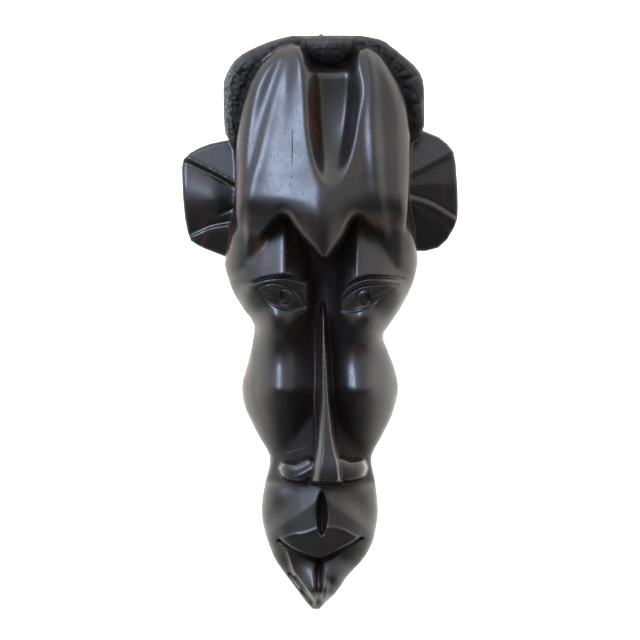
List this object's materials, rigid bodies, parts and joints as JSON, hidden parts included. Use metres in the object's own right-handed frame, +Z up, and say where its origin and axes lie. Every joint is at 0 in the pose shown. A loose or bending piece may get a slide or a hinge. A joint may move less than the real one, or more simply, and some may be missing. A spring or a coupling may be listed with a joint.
{
  "type": "carved wooden mask",
  "caption": "Tall dark hardwood wall mask with a twin-lobed forehead, faceted ears and a pointed beard, hollowed behind and hung by a swinging triangle ring.",
  "frame": {"origin": "where the wall nail bears, inside the apex of the hanger ring", "axes": "+Z up along the mask, +X to the viewer's right as they look at the face, +Y from the flat back into the wall"},
  "size_m": [0.1928, 0.1099, 0.4021],
  "materials": {
    "wood": "ebonised hardwood, waxed to a soft gloss, with matt tooled hair",
    "brass": "aged brass",
    "screw_steel": "brass-plated steel, worn"
  },
  "bodies": {
    "mask": {"carved_mask": "wood", "hanger_strap": "brass", "strap_screw_upper": "screw_steel", "strap_screw_lower": "screw_steel"},
    "ring": {"hanger_ring": "brass"}
  },
  "joints": [
    {"name": "ring_swing", "type": "hinge", "parent": "mask", "child": "ring", "pos_m": [0, 0.00235, -0.0151], "axis": [-1, 0, 0], "range_deg": [0, 165]}
  ]
}
